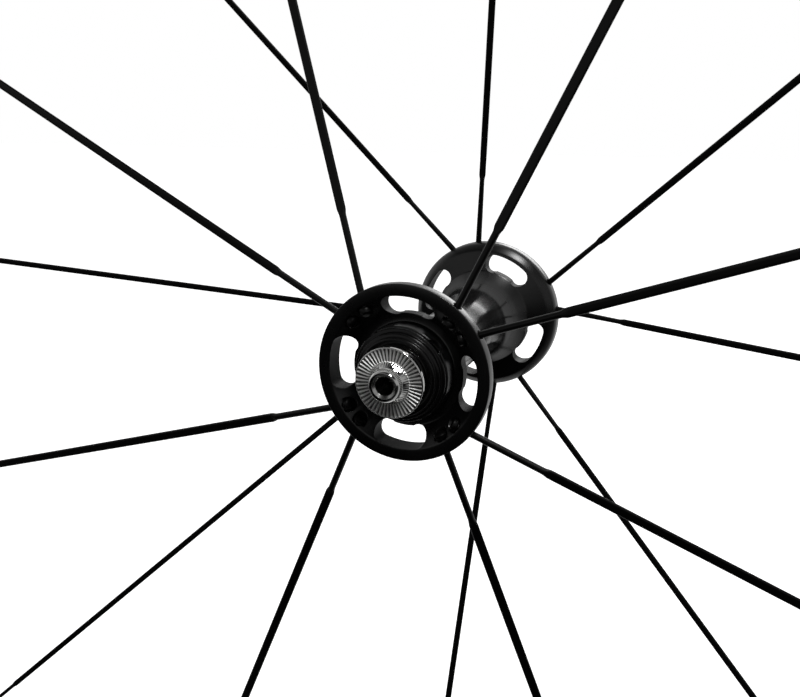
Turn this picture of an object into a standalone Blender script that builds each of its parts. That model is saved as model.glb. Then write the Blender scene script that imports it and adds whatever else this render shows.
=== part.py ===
"""Front bicycle wheel with a hollow quick release axle, sixteen bladed spokes and a double wall rim.

The axle lies along Y, the wheel stands in the XZ plane, and the origin is the middle of the hub.
Left is the -Y side and right is the +Y side. Lengths are in metres.
"""
import math

import bmesh
import bpy
from mathutils import Matrix, Vector

MM = 0.001
GAP = 0.3 * MM                     # clearance left between neighbouring pieces
SIDES = {"left": -1, "right": 1}

# ---------------------------------------------------------------- driving dimensions

DROPOUT_SPACING = 100 * MM         # over the two locknut faces, a standard road fork
AXLE_OVERALL = 108 * MM            # over the two locknut stubs
AXLE_RADIUS = 5.85 * MM
AXLE_END_RADIUS = 3.5 * MM
AXLE_BORE_RADIUS = 2.6 * MM        # clears a 5 mm quick release skewer
AXLE_END_RECESS = 0.4 * MM

LOCKNUT_RADIUS = 9.75 * MM
LOCKNUT_THICKNESS = 2.5 * MM
LOCKNUT_COLLAR_RADIUS = 5.9 * MM
LOCKNUT_COLLAR_HEIGHT = 1.4 * MM
STUB_RADIUS = 4.45 * MM
SPACER_RADIUS = 8.5 * MM

BEARING_WIDTH = 6.0 * MM
BEARING_INNER_FACE = 34.8 * MM     # distance of the bearing from the middle of the hub
BEARING_BORE_RADIUS = 6.15 * MM
INNER_RACE_RADIUS = 7.5 * MM
OUTER_RACE_INNER_RADIUS = 10.5 * MM
BEARING_RADIUS = 11.85 * MM
BALL_RADIUS = 1.2 * MM
BALL_PITCH_RADIUS = 9.0 * MM
BALL_COUNT = 11
CAGE_WIDTH = 1.0 * MM
CAGE_WALL = 0.5 * MM
SEAL_THICKNESS = 0.6 * MM

BARREL_RADIUS = 9.9 * MM
BARREL_BORE_RADIUS = 8.4 * MM
FLANGE_RADIUS = 25.05 * MM
FLANGE_FACE = 41.1 * MM            # outer face of the flange rim, from the middle of the hub
FLANGE_BACK = 35.4 * MM
FLANGE_EDGE_CHAMFER = 0.2 * MM
FLANGE_BACK_CHAMFER = 1.2 * MM
RING_INNER_RADIUS = 21.6 * MM      # where the flange rim turns down into the dish
DISH_RADIUS = 16.1 * MM
DISH_FLOOR = 36.2 * MM
DISH_BACK = 33.0 * MM
HOUSING_RADIUS = 13.6 * MM
HOUSING_END = 41.5 * MM
TRUMPET_RADIUS = 11.6 * MM         # where the flange's cone starts to run into the barrel
TRUMPET_START = 27 * MM
TRUMPET_END = 17 * MM              # where the barrel becomes plain
COUNTERBORE_MOUTH_RADIUS = 15.4 * MM

DUST_CAP_RADIUS = 13.2 * MM
DUST_CAP_NOSE_RADIUS = 11.0 * MM
DUST_CAP_END = 45.0 * MM
DUST_CAP_LIP = 0.8 * MM            # straight edge below the cone

WINDOW_OUTER_RADIUS = 21.7 * MM
WINDOW_INNER_RADIUS = 16.2 * MM
WINDOW_END_RADIUS = 2.9 * MM
WINDOW_HALF_ANGLE = math.radians(23.6)

SPOKE_PAIRS = 4                    # pairs of spokes on each flange
LEFT_PAIR_ANGLE = math.radians(41.5)
RIGHT_PAIR_ANGLE = math.radians(19.0)
HUB_HALF_SPREAD = math.radians(11.2)
RIM_HALF_SPREAD = math.radians(22.5)
SPOKE_EXIT_RADIUS = 25.4 * MM
SPOKE_EXIT_OFFSET = 39.0 * MM      # distance of the spoke holes from the middle of the hub
SPOKE_RADIUS = 1.0 * MM
SPOKE_HEAD_RADIUS = 1.75 * MM
SPOKE_HEAD_LENGTH = 1.8 * MM
SPOKE_SEAT = 4.6 * MM              # from the flange edge in to the head's seat
SPOKE_HOLE_RADIUS = 1.3 * MM
COUNTERBORE_RADIUS = 2.1 * MM
BLADE_WIDTH = 2.8 * MM
BLADE_THICKNESS = 0.95 * MM
BLADE_START = 21 * MM              # round until here, measured from the flange edge
BLADE_RUN_IN = 2.2 * MM            # length over which the wire is forged flat
BLADE_END = 246 * MM

RIM_RADIUS = 317 * MM              # 622 mm bead seat plus the two flanges of the rim
RIM_TIP_RADIUS = 293 * MM          # the rim's edge nearest the hub
RIM_HALF_WIDTH = 10 * MM
SPOKE_BED_RADIUS = 294.8 * MM
TYRE_BED_RADIUS = 306 * MM
TYRE_BED_WALL = 1.4 * MM
ACCESS_HOLE_RADIUS = 4.0 * MM
# half outlines of the rim as (radius, distance from the middle plane), from the tyre bed to the tip
RIM_TYRE_BED = [
    (TYRE_BED_RADIUS, 4.6 * MM), (309.2 * MM, 8.3 * MM), (314.2 * MM, 8.5 * MM), (315.6 * MM, 7.6 * MM),
    (RIM_RADIUS, 8.4 * MM),
]
RIM_FLANK = [
    (316.2 * MM, RIM_HALF_WIDTH), (304.5 * MM, RIM_HALF_WIDTH), (298.6 * MM, 7.9 * MM),
    (294.3 * MM, 5.3 * MM), (RIM_TIP_RADIUS, 3.4 * MM),
]
RIM_HOLLOW = [
    (TYRE_BED_RADIUS - TYRE_BED_WALL, 5.4 * MM), (303.0 * MM, 7.6 * MM), (299.2 * MM, 6.2 * MM),
    (SPOKE_BED_RADIUS, 3.7 * MM),
]
NIPPLE_RADIUS = 2.0 * MM
NIPPLE_HEAD_RADIUS = 2.8 * MM
NIPPLE_HOLE_RADIUS = 2.5 * MM
NIPPLE_BORE_RADIUS = 1.3 * MM
NIPPLE_START = 281.5 * MM          # radius where a nipple begins
NIPPLE_SHOULDER = 296.2 * MM
NIPPLE_END = 298.6 * MM
SPOKE_TIP = 297.0 * MM
VALVE_HOLE_RADIUS = 3.3 * MM
VALVE_ANGLE = LEFT_PAIR_ANGLE + math.radians(191.25)
TAPE_HALF_WIDTH = 4.2 * MM
TAPE_THICKNESS = 0.7 * MM

RIM_SEGMENTS = 48
HUB_SEGMENTS = 40
TURNED_SEGMENTS = 24               # the small turned pieces
HOLE_SEGMENTS = 8
NIPPLE_SEGMENTS = 8
SPOKE_SEGMENTS = 8
CUT_MARGIN = 2 * MM                # how far a cutter runs past a wall


# ---------------------------------------------------------------- scene and helpers

def clear_scene():
    """Start from an empty scene without closing the file that runs this script."""
    for old in list(bpy.data.objects):
        bpy.data.objects.remove(old, do_unlink=True)


def new_collection(name):
    """Make a collection under the scene."""
    collection = bpy.data.collections.new(name)
    bpy.context.scene.collection.children.link(collection)
    return collection


def make_material(name, colour, roughness, metallic):
    """Make one Principled material."""
    material = bpy.data.materials.new(name)
    material.use_nodes = True
    shader = material.node_tree.nodes["Principled BSDF"]
    shader.inputs["Base Color"].default_value = (*colour, 1.0)
    shader.inputs["Roughness"].default_value = roughness
    shader.inputs["Metallic"].default_value = metallic
    material.diffuse_color = (*colour, 1.0)
    return material


def add_object(name, mesh, collection, material=None, parent=None):
    """Put a mesh in the scene as a named object."""
    obj = bpy.data.objects.new(name, mesh)
    collection.objects.link(obj)
    obj.parent = parent
    if material is not None:
        mesh.materials.clear()
        mesh.materials.append(material)
    return obj


def hide_cutter(obj):
    """Mark an object as a cutter, seen only as a wire outline."""
    obj.hide_render = True
    obj.display_type = "WIRE"


def outer_side_down(loop):
    """Order an outline so that its outer side runs from top to bottom, which turns it right side out."""
    pairs = zip(loop, loop[1:] + loop[:1])
    twice_area = sum(first[0] * second[1] - second[0] * first[1] for first, second in pairs)
    return loop[::-1] if twice_area > 0 else loop


def profile_mesh(name, loop):
    """A closed outline in the XZ plane, given as (radius, height) points."""
    shape = bmesh.new()
    corners = [shape.verts.new((radius, 0.0, height)) for radius, height in outer_side_down(loop)]
    for first, second in zip(corners, corners[1:] + corners[:1]):
        shape.edges.new((first, second))
    mesh = bpy.data.meshes.new(name)
    shape.to_mesh(mesh)
    shape.free()
    return mesh


def turned(name, loop, segments, collection, material=None, parent=None, side=1):
    """Turn an outline round the wheel's axle. Heights run outboard on the side that is given."""
    obj = add_object(name, profile_mesh(name, loop), collection, material, parent)
    obj.rotation_euler = (-side * math.pi / 2, 0.0, 0.0)
    screw = obj.modifiers.new("turn", "SCREW")
    screw.axis = "Z"
    screw.steps = segments
    screw.render_steps = segments
    screw.use_merge_vertices = True
    screw.merge_threshold = 0.00001
    screw.use_smooth_shade = False
    return obj


def apply_modifiers(obj):
    """Bake an object's modifiers into its mesh."""
    evaluated = obj.evaluated_get(bpy.context.evaluated_depsgraph_get())
    mesh = bpy.data.meshes.new_from_object(evaluated)
    obj.modifiers.clear()
    obj.data = mesh


def cut(obj, cutter):
    """Subtract a cutter with a live Boolean modifier."""
    boolean = obj.modifiers.new("cut " + cutter.name, "BOOLEAN")
    boolean.operation = "DIFFERENCE"
    boolean.solver = "EXACT"
    boolean.object = cutter
    hide_cutter(cutter)


def cylinder_between(name, start, end, radius, segments, collection):
    """A closed cylinder whose axis runs from one point to another."""
    span = end - start
    shape = bmesh.new()
    bmesh.ops.create_cone(shape, cap_ends=True, segments=segments, radius1=radius, radius2=radius,
                          depth=span.length)
    mesh = bpy.data.meshes.new(name)
    shape.to_mesh(mesh)
    shape.free()
    obj = add_object(name, mesh, collection)
    obj.location = (start + end) / 2
    obj.rotation_euler = span.to_track_quat("Z", "Y").to_euler()
    return obj


def join_meshes(name, objects, collection):
    """Join separate cutters that do not touch into one object, in world coordinates."""
    bpy.context.view_layer.update()
    shape = bmesh.new()
    for obj in objects:
        copy = obj.data.copy()
        copy.transform(obj.matrix_world)
        shape.from_mesh(copy)
        bpy.data.meshes.remove(copy)
        bpy.data.objects.remove(obj, do_unlink=True)
    mesh = bpy.data.meshes.new(name)
    shape.to_mesh(mesh)
    shape.free()
    return add_object(name, mesh, collection)


def ring_loop(inner, outer, low, high, chamfer=0.0):
    """Outline of a plain ring with an optional chamfer on its outer corners."""
    if chamfer == 0.0:
        return [(outer, high), (outer, low), (inner, low), (inner, high)]
    return [(outer - chamfer, high), (outer, high - chamfer), (outer, low + chamfer),
            (outer - chamfer, low), (inner, low), (inner, high)]


def wheel_point(radius, angle, across):
    """A point at a radius and angle in the wheel's plane, and a distance along the axle."""
    return Vector((radius * math.cos(angle), across, radius * math.sin(angle)))


# ---------------------------------------------------------------- spoke layout

def pair_angles(side_name):
    """Middle angle of each pair of spokes on one flange."""
    first = LEFT_PAIR_ANGLE if side_name == "left" else RIGHT_PAIR_ANGLE
    return [first + index * 2 * math.pi / SPOKE_PAIRS for index in range(SPOKE_PAIRS)]


def spoke_lines(side_name):
    """Number, flange exit point, direction and rim angle of every spoke on one flange."""
    lines = []
    for middle in pair_angles(side_name):
        for hand in (-1, 1):
            exit_point = wheel_point(SPOKE_EXIT_RADIUS, middle + hand * HUB_HALF_SPREAD,
                                     SIDES[side_name] * SPOKE_EXIT_OFFSET)
            rim_angle = middle + hand * RIM_HALF_SPREAD
            rim_point = wheel_point(RIM_TIP_RADIUS, rim_angle, 0.0)
            lines.append((len(lines) + 1, exit_point, (rim_point - exit_point).normalized(), rim_angle))
    return lines


def along_spoke(exit_point, direction, radius):
    """How far from the flange edge a spoke reaches a given wheel radius."""
    flat_exit = Vector((exit_point.x, exit_point.z))
    flat_direction = Vector((direction.x, direction.z))
    square = flat_direction.length_squared
    half_linear = flat_exit.dot(flat_direction)
    constant = flat_exit.length_squared - radius * radius
    return (-half_linear + math.sqrt(half_linear ** 2 - square * constant)) / square


# ---------------------------------------------------------------- axle and its fittings

def build_axle(collection, material):
    """Hollow axle, stepped down at both ends for the locknuts."""
    half = AXLE_OVERALL / 2 - AXLE_END_RECESS
    step = DROPOUT_SPACING / 2 - LOCKNUT_THICKNESS - GAP
    chamfer = 0.4 * MM
    loop = [
        (AXLE_END_RADIUS - chamfer, half), (AXLE_END_RADIUS, half - chamfer), (AXLE_END_RADIUS, step),
        (AXLE_RADIUS, step), (AXLE_RADIUS, -step), (AXLE_END_RADIUS, -step),
        (AXLE_END_RADIUS, -half + chamfer), (AXLE_END_RADIUS - chamfer, -half),
        (AXLE_BORE_RADIUS, -half), (AXLE_BORE_RADIUS, half),
    ]
    turned("axle", loop, TURNED_SEGMENTS, collection, material)


def build_locknut(side_name, collection, material):
    """Clamp washer and axle stub in one piece, which the fork's dropout sits on."""
    face = DROPOUT_SPACING / 2
    end = AXLE_OVERALL / 2
    chamfer = 0.3 * MM
    bore = AXLE_END_RADIUS + GAP
    loop = [
        (STUB_RADIUS - chamfer, end), (STUB_RADIUS, end - chamfer),
        (STUB_RADIUS, face + LOCKNUT_COLLAR_HEIGHT), (LOCKNUT_COLLAR_RADIUS, face),
        (LOCKNUT_RADIUS - chamfer, face), (LOCKNUT_RADIUS, face - chamfer),
        (LOCKNUT_RADIUS, face - LOCKNUT_THICKNESS), (bore, face - LOCKNUT_THICKNESS), (bore, end),
    ]
    turned("locknut_" + side_name, loop, TURNED_SEGMENTS, collection, material, side=SIDES[side_name])


def build_spacer(side_name, collection, material):
    """Sleeve between the bearing's inner race and the locknut."""
    low = BEARING_INNER_FACE + BEARING_WIDTH + GAP
    high = DROPOUT_SPACING / 2 - LOCKNUT_THICKNESS - GAP
    loop = ring_loop(BEARING_BORE_RADIUS, SPACER_RADIUS, low, high, 0.3 * MM)
    turned("axle_spacer_" + side_name, loop, TURNED_SEGMENTS, collection, material, side=SIDES[side_name])


# ---------------------------------------------------------------- bearings

def build_races(side_name, collection, material, wheel):
    """Inner race on the axle and outer race in the hub shell."""
    low = BEARING_INNER_FACE
    high = BEARING_INNER_FACE + BEARING_WIDTH
    inner = ring_loop(BEARING_BORE_RADIUS, INNER_RACE_RADIUS, low, high)
    outer = ring_loop(OUTER_RACE_INNER_RADIUS, BEARING_RADIUS, low, high, 0.3 * MM)
    side = SIDES[side_name]
    turned("inner_race_" + side_name, inner, TURNED_SEGMENTS, collection, material, side=side)
    turned("outer_race_" + side_name, outer, TURNED_SEGMENTS, collection, material, wheel, side)


def build_balls(side_name, collection, material, parent):
    """Ball retainer with its balls, joined because the balls and retainer travel together."""
    middle = BEARING_INNER_FACE + BEARING_WIDTH / 2
    loop = ring_loop(BALL_PITCH_RADIUS - CAGE_WALL, BALL_PITCH_RADIUS + CAGE_WALL,
                     middle - CAGE_WIDTH / 2, middle + CAGE_WIDTH / 2)
    side = SIDES[side_name]
    cage = turned("ball_set_" + side_name, loop, BALL_COUNT * 2, collection, material, parent, side)
    balls = []
    for index in range(BALL_COUNT):
        shape = bmesh.new()
        bmesh.ops.create_icosphere(shape, subdivisions=1, radius=BALL_RADIUS)
        mesh = bpy.data.meshes.new("ball")
        shape.to_mesh(mesh)
        shape.free()
        ball = add_object("ball", mesh, cutters)
        ball.location = wheel_point(BALL_PITCH_RADIUS, 2 * math.pi * index / BALL_COUNT, side * middle)
        balls.append(ball)
    group = join_meshes("ball_group_" + side_name, balls, cutters)
    union = cage.modifiers.new("balls", "BOOLEAN")
    union.operation = "UNION"
    union.solver = "EXACT"
    union.object = group
    hide_cutter(group)


def build_seals(side_name, collection, material, wheel):
    """Two thin rubber seals that turn with the outer race."""
    inner = INNER_RACE_RADIUS + GAP
    outer = OUTER_RACE_INNER_RADIUS - GAP
    side = SIDES[side_name]
    low = BEARING_INNER_FACE
    high = BEARING_INNER_FACE + BEARING_WIDTH
    places = {"inboard": (low, low + SEAL_THICKNESS), "outboard": (high - SEAL_THICKNESS, high)}
    for place, (bottom, top) in places.items():
        name = "bearing_seal_" + side_name + "_" + place
        loop = ring_loop(inner, outer, bottom, top)
        turned(name, loop, TURNED_SEGMENTS, collection, material, wheel, side)


def build_dust_cap(side_name, collection, material, wheel):
    """Coned cap pressed over the bearing, round the spacer."""
    low = BEARING_INNER_FACE + BEARING_WIDTH + GAP
    lip = HOUSING_END + GAP
    bore = SPACER_RADIUS + GAP
    loop = [
        (DUST_CAP_NOSE_RADIUS, DUST_CAP_END), (DUST_CAP_RADIUS, lip + DUST_CAP_LIP), (DUST_CAP_RADIUS, lip),
        (BEARING_RADIUS, lip), (BEARING_RADIUS, low), (bore, low), (bore, DUST_CAP_END),
    ]
    turned("dust_cap_" + side_name, loop, TURNED_SEGMENTS, collection, material, wheel, SIDES[side_name])


# ---------------------------------------------------------------- hub shell

def shell_half():
    """Outer outline of one half of the shell, from the housing mouth to the middle of the barrel."""
    edge = FLANGE_EDGE_CHAMFER
    back = FLANGE_BACK_CHAMFER
    outline = [
        (HOUSING_RADIUS, HOUSING_END), (HOUSING_RADIUS, DISH_FLOOR), (DISH_RADIUS, DISH_FLOOR),
        (RING_INNER_RADIUS, FLANGE_FACE), (FLANGE_RADIUS - edge, FLANGE_FACE),
        (FLANGE_RADIUS, FLANGE_FACE - edge), (FLANGE_RADIUS, FLANGE_BACK + back),
        (FLANGE_RADIUS - back, FLANGE_BACK), (DISH_RADIUS, DISH_BACK), (TRUMPET_RADIUS, TRUMPET_START),
    ]
    # the barrel runs out of the cone along a quarter wave
    for share in (0.4, 1.0):
        radius = BARREL_RADIUS + (TRUMPET_RADIUS - BARREL_RADIUS) * (1 - math.sin(share * math.pi / 2))
        outline.append((radius, TRUMPET_START + (TRUMPET_END - TRUMPET_START) * share))
    return outline


def bore_half():
    """Inner outline of one half, from the housing mouth down to the barrel's bore."""
    seat = BEARING_RADIUS + GAP
    shoulder = BEARING_INNER_FACE - GAP
    return [(seat, HOUSING_END), (seat, shoulder), (BARREL_BORE_RADIUS, shoulder)]


def kidney_outline():
    """Corner points of one lightening window, centred on angle zero."""
    centre = WINDOW_OUTER_RADIUS - WINDOW_END_RADIUS
    bend = WINDOW_HALF_ANGLE - math.asin(WINDOW_END_RADIUS / centre)
    squares = centre ** 2 + WINDOW_END_RADIUS ** 2 - WINDOW_INNER_RADIUS ** 2
    sweep = math.pi - math.acos(squares / (2 * centre * WINDOW_END_RADIUS))
    points = []
    arc_steps = 4
    for step in range(arc_steps + 1):
        angle = -bend + 2 * bend * step / arc_steps
        points.append((WINDOW_OUTER_RADIUS * math.cos(angle), WINDOW_OUTER_RADIUS * math.sin(angle)))
    end_steps = 5
    for step in range(1, end_steps + 1):
        angle = bend + sweep * step / end_steps
        points.append((centre * math.cos(bend) + WINDOW_END_RADIUS * math.cos(angle),
                       centre * math.sin(bend) + WINDOW_END_RADIUS * math.sin(angle)))
    corner = math.atan2(points[-1][1], points[-1][0])
    for step in range(1, arc_steps):
        angle = corner - 2 * corner * step / arc_steps
        points.append((WINDOW_INNER_RADIUS * math.cos(angle), WINDOW_INNER_RADIUS * math.sin(angle)))
    for step in range(end_steps):
        angle = -bend - sweep * (end_steps - step) / end_steps
        points.append((centre * math.cos(bend) + WINDOW_END_RADIUS * math.cos(angle),
                       -centre * math.sin(bend) + WINDOW_END_RADIUS * math.sin(angle)))
    return points[:-1] if points[-1] == points[0] else points


def window_cutter(name, middle, side):
    """A kidney prism that runs through one flange's web."""
    low = DISH_BACK - CUT_MARGIN
    high = FLANGE_FACE + CUT_MARGIN
    shape = bmesh.new()
    ends = sorted((side * low, side * high))
    corners = []
    for x, z in kidney_outline():
        radius = math.hypot(x, z)
        angle = math.atan2(z, x) + middle
        corners.append(shape.verts.new(wheel_point(radius, angle, ends[0])))
    face = shape.faces.new(corners)
    pushed = bmesh.ops.extrude_face_region(shape, geom=[face])
    moved = [item for item in pushed["geom"] if isinstance(item, bmesh.types.BMVert)]
    bmesh.ops.translate(shape, verts=moved, vec=(0.0, ends[1] - ends[0], 0.0))
    bmesh.ops.recalc_face_normals(shape, faces=shape.faces)
    mesh = bpy.data.meshes.new(name)
    shape.to_mesh(mesh)
    shape.free()
    return add_object(name, mesh, cutters)


def build_hub_shell(collection, material, wheel):
    """Barrel and both flanges in one turned piece, then the windows and the spoke holes are cut."""
    right = shell_half()
    left = [(radius, -height) for radius, height in reversed(right)]
    bore_right = bore_half()
    bore_left = [(radius, -height) for radius, height in bore_right]
    loop = right + left + bore_left + bore_right[::-1]
    shell = turned("hub_shell", loop, HUB_SEGMENTS, collection, material, wheel)
    windows = []
    holes = []
    counterbores = []
    for side_name, side in SIDES.items():
        for middle in pair_angles(side_name):
            windows.append(window_cutter("window", middle + math.pi / SPOKE_PAIRS, side))
        for _, exit_point, direction, _ in spoke_lines(side_name):
            seat = exit_point - direction * SPOKE_SEAT
            mouth = exit_point - direction * along_spoke(exit_point, -direction, COUNTERBORE_MOUTH_RADIUS)
            holes.append(cylinder_between("hole", seat - direction * MM, exit_point + direction * CUT_MARGIN,
                                          SPOKE_HOLE_RADIUS, HOLE_SEGMENTS, cutters))
            counterbores.append(cylinder_between("counterbore", mouth, seat, COUNTERBORE_RADIUS,
                                                 HOLE_SEGMENTS, cutters))
    cut(shell, join_meshes("hub_windows", windows, cutters))
    # the counterbores of a pair touch, so the two spokes of every pair are cut in two passes
    for hand in (0, 1):
        cut(shell, join_meshes("hub_counterbores_%d" % hand, counterbores[hand::2], cutters))
    cut(shell, join_meshes("hub_spoke_holes", holes, cutters))


# ---------------------------------------------------------------- spokes and nipples

def spoke_stations(exit_point, direction):
    """Distance from the flange edge, half width and half thickness, from the head to the tip."""
    head_end = -SPOKE_SEAT - GAP
    tip = along_spoke(exit_point, direction, SPOKE_TIP)
    blade = (BLADE_WIDTH / 2, BLADE_THICKNESS / 2)
    wire = (SPOKE_RADIUS, SPOKE_RADIUS)
    head = (SPOKE_HEAD_RADIUS, SPOKE_HEAD_RADIUS)
    return [
        (head_end - SPOKE_HEAD_LENGTH, *head), (head_end, *head), (head_end, *wire),
        (BLADE_START, *wire), (BLADE_START + BLADE_RUN_IN, *blade),
        (BLADE_END, *blade), (BLADE_END + BLADE_RUN_IN, *wire), (tip, *wire),
    ]


def spoke_frame(direction):
    """Rotation that points local Z along the spoke and local X across its blade, in the wheel's plane."""
    across = direction.cross(Vector((0.0, 1.0, 0.0))).normalized()
    normal = direction.cross(across)
    return Matrix((across, normal, direction)).transposed().to_euler()


def stacked_mesh(name, stations, segments):
    """Extrude a round section from station to station, and scale it to each station's size."""
    shape = bmesh.new()
    first = stations[0]
    made = bmesh.ops.create_circle(shape, cap_ends=True, segments=segments, radius=1.0)
    bmesh.ops.scale(shape, vec=(first[1], first[2], 1.0), verts=made["verts"])
    bmesh.ops.translate(shape, vec=(0.0, 0.0, first[0]), verts=made["verts"])
    bottom = shape.faces[:][0]
    top = bottom
    for before, after in zip(stations, stations[1:]):
        pushed = bmesh.ops.extrude_face_region(shape, geom=[top])
        if top is not bottom:
            bmesh.ops.delete(shape, geom=[top], context="FACES_ONLY")
        ring = [item for item in pushed["geom"] if isinstance(item, bmesh.types.BMVert)]
        top = [item for item in pushed["geom"] if isinstance(item, bmesh.types.BMFace)][0]
        bmesh.ops.scale(shape, vec=(after[1] / before[1], after[2] / before[2], 1.0), verts=ring)
        bmesh.ops.translate(shape, vec=(0.0, 0.0, after[0] - before[0]), verts=ring)
    bmesh.ops.recalc_face_normals(shape, faces=shape.faces)
    mesh = bpy.data.meshes.new(name)
    shape.to_mesh(mesh)
    shape.free()
    return mesh


def build_spokes(side_name, collection, material, wheel):
    """Straight pull spokes: a head in the flange, a round neck, a flat blade and a round threaded tip."""
    for number, exit_point, direction, _ in spoke_lines(side_name):
        name = "spoke_%s_%d" % (side_name, number)
        mesh = stacked_mesh(name, spoke_stations(exit_point, direction), SPOKE_SEGMENTS)
        spoke = add_object(name, mesh, collection, material, wheel)
        spoke.location = exit_point
        spoke.rotation_euler = spoke_frame(direction)


def build_nipples(side_name, collection, material, wheel):
    """Nipples that hold each spoke to the rim, with their heads inside it."""
    for number, exit_point, direction, _ in spoke_lines(side_name):
        start = along_spoke(exit_point, direction, NIPPLE_START)
        shoulder = along_spoke(exit_point, direction, NIPPLE_SHOULDER)
        end = along_spoke(exit_point, direction, NIPPLE_END)
        loop = [
            (NIPPLE_HEAD_RADIUS, end), (NIPPLE_HEAD_RADIUS, shoulder), (NIPPLE_RADIUS, shoulder),
            (NIPPLE_RADIUS, start), (NIPPLE_BORE_RADIUS, start), (NIPPLE_BORE_RADIUS, end),
        ]
        name = "nipple_%s_%d" % (side_name, number)
        nipple = turned(name, loop, NIPPLE_SEGMENTS, collection, material, wheel)
        nipple.location = exit_point
        nipple.rotation_euler = spoke_frame(direction)


# ---------------------------------------------------------------- rim and rim tape

def mirrored(half):
    """Complete an outline that runs from the middle out to the +Y side, with its mirror image."""
    other = [(radius, -height) for radius, height in reversed(half)]
    return half + other


def build_rim(collection, material, wheel):
    """Double wall rim: hooked tyre channel outside, box section inside, drilled for nipples and valve."""
    rim = turned("rim", mirrored(RIM_TYRE_BED + RIM_FLANK), RIM_SEGMENTS, collection, material, wheel)
    hollow = turned("rim_hollow", mirrored(RIM_HOLLOW), RIM_SEGMENTS, cutters)
    apply_modifiers(hollow)
    nipple_holes = []
    access_holes = []
    for side_name in SIDES:
        for _, exit_point, direction, rim_angle in spoke_lines(side_name):
            low = exit_point + direction * along_spoke(exit_point, direction, RIM_TIP_RADIUS - CUT_MARGIN)
            high = exit_point + direction * along_spoke(exit_point, direction, SPOKE_BED_RADIUS + CUT_MARGIN)
            nipple_holes.append(cylinder_between("hole", low, high, NIPPLE_HOLE_RADIUS, HOLE_SEGMENTS,
                                                 cutters))
            low = wheel_point(TYRE_BED_RADIUS - TYRE_BED_WALL - CUT_MARGIN, rim_angle, 0.0)
            high = wheel_point(TYRE_BED_RADIUS + CUT_MARGIN, rim_angle, 0.0)
            access_holes.append(cylinder_between("hole", low, high, ACCESS_HOLE_RADIUS, HOLE_SEGMENTS,
                                                 cutters))
    cut(rim, hollow)
    cut(rim, join_meshes("rim_nipple_holes", nipple_holes, cutters))
    cut(rim, join_meshes("rim_access_holes", access_holes, cutters))
    low = wheel_point(RIM_TIP_RADIUS - CUT_MARGIN, VALVE_ANGLE, 0.0)
    high = wheel_point(RIM_RADIUS, VALVE_ANGLE, 0.0)
    valve = cylinder_between("valve_hole", low, high, VALVE_HOLE_RADIUS, HOLE_SEGMENTS, cutters)
    cut(rim, valve)
    return valve


def build_rim_tape(collection, material, wheel, valve):
    """Tape that covers the access holes so that the inner tube can't bulge into them."""
    low = TYRE_BED_RADIUS + GAP
    loop = ring_loop(low, low + TAPE_THICKNESS, -TAPE_HALF_WIDTH, TAPE_HALF_WIDTH)
    tape = turned("rim_tape", loop, RIM_SEGMENTS, collection, material, wheel)
    cut(tape, valve)


# ---------------------------------------------------------------- assembly

clear_scene()
parts = new_collection("front_wheel")
cutters = new_collection("front_wheel_cutters")

black_anodised = make_material("black_anodised", (0.012, 0.012, 0.013), 0.22, 0.6)
black_spoke = make_material("black_spoke", (0.010, 0.010, 0.011), 0.35, 0.5)
machined_silver = make_material("machined_silver", (0.72, 0.72, 0.71), 0.28, 1.0)
bearing_steel = make_material("bearing_steel", (0.60, 0.60, 0.60), 0.2, 1.0)
seal_rubber = make_material("seal_rubber", (0.02, 0.02, 0.02), 0.7, 0.0)
rim_black = make_material("rim_black", (0.015, 0.015, 0.016), 0.4, 0.5)
tape_plastic = make_material("tape_plastic", (0.75, 0.16, 0.05), 0.5, 0.0)

wheel_axis = bpy.data.objects.new("wheel_axis", None)
parts.objects.link(wheel_axis)

build_axle(parts, machined_silver)
for hub_side in SIDES:
    ball_axis = bpy.data.objects.new("ball_axis_" + hub_side, None)
    parts.objects.link(ball_axis)
    build_locknut(hub_side, parts, machined_silver)
    build_spacer(hub_side, parts, machined_silver)
    build_races(hub_side, parts, bearing_steel, wheel_axis)
    build_balls(hub_side, parts, bearing_steel, ball_axis)
    build_seals(hub_side, parts, seal_rubber, wheel_axis)
    build_dust_cap(hub_side, parts, black_anodised, wheel_axis)
    build_spokes(hub_side, parts, black_spoke, wheel_axis)
    build_nipples(hub_side, parts, machined_silver, wheel_axis)
build_hub_shell(parts, black_anodised, wheel_axis)
valve_cutter = build_rim(parts, rim_black, wheel_axis)
build_rim_tape(parts, tape_plastic, wheel_axis, valve_cutter)

for piece in parts.objects:
    if piece.type == "MESH":
        piece.data.shade_smooth()
        piece.data.set_sharp_from_angle(angle=math.radians(30))
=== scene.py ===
# %% [markdown]
# # A bicycle front wheel with a hollow quick release axle
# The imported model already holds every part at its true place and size. This lesson gives each part the
# surface and the small shapes that a maker's tools leave on it: rounded corners, drilled and milled
# openings, serrations and rolled blades. It starts by loading that model as a fixed frame.

# %% Load the frame
import math

import bmesh
import bpy
from mathutils import Matrix, Vector


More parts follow.
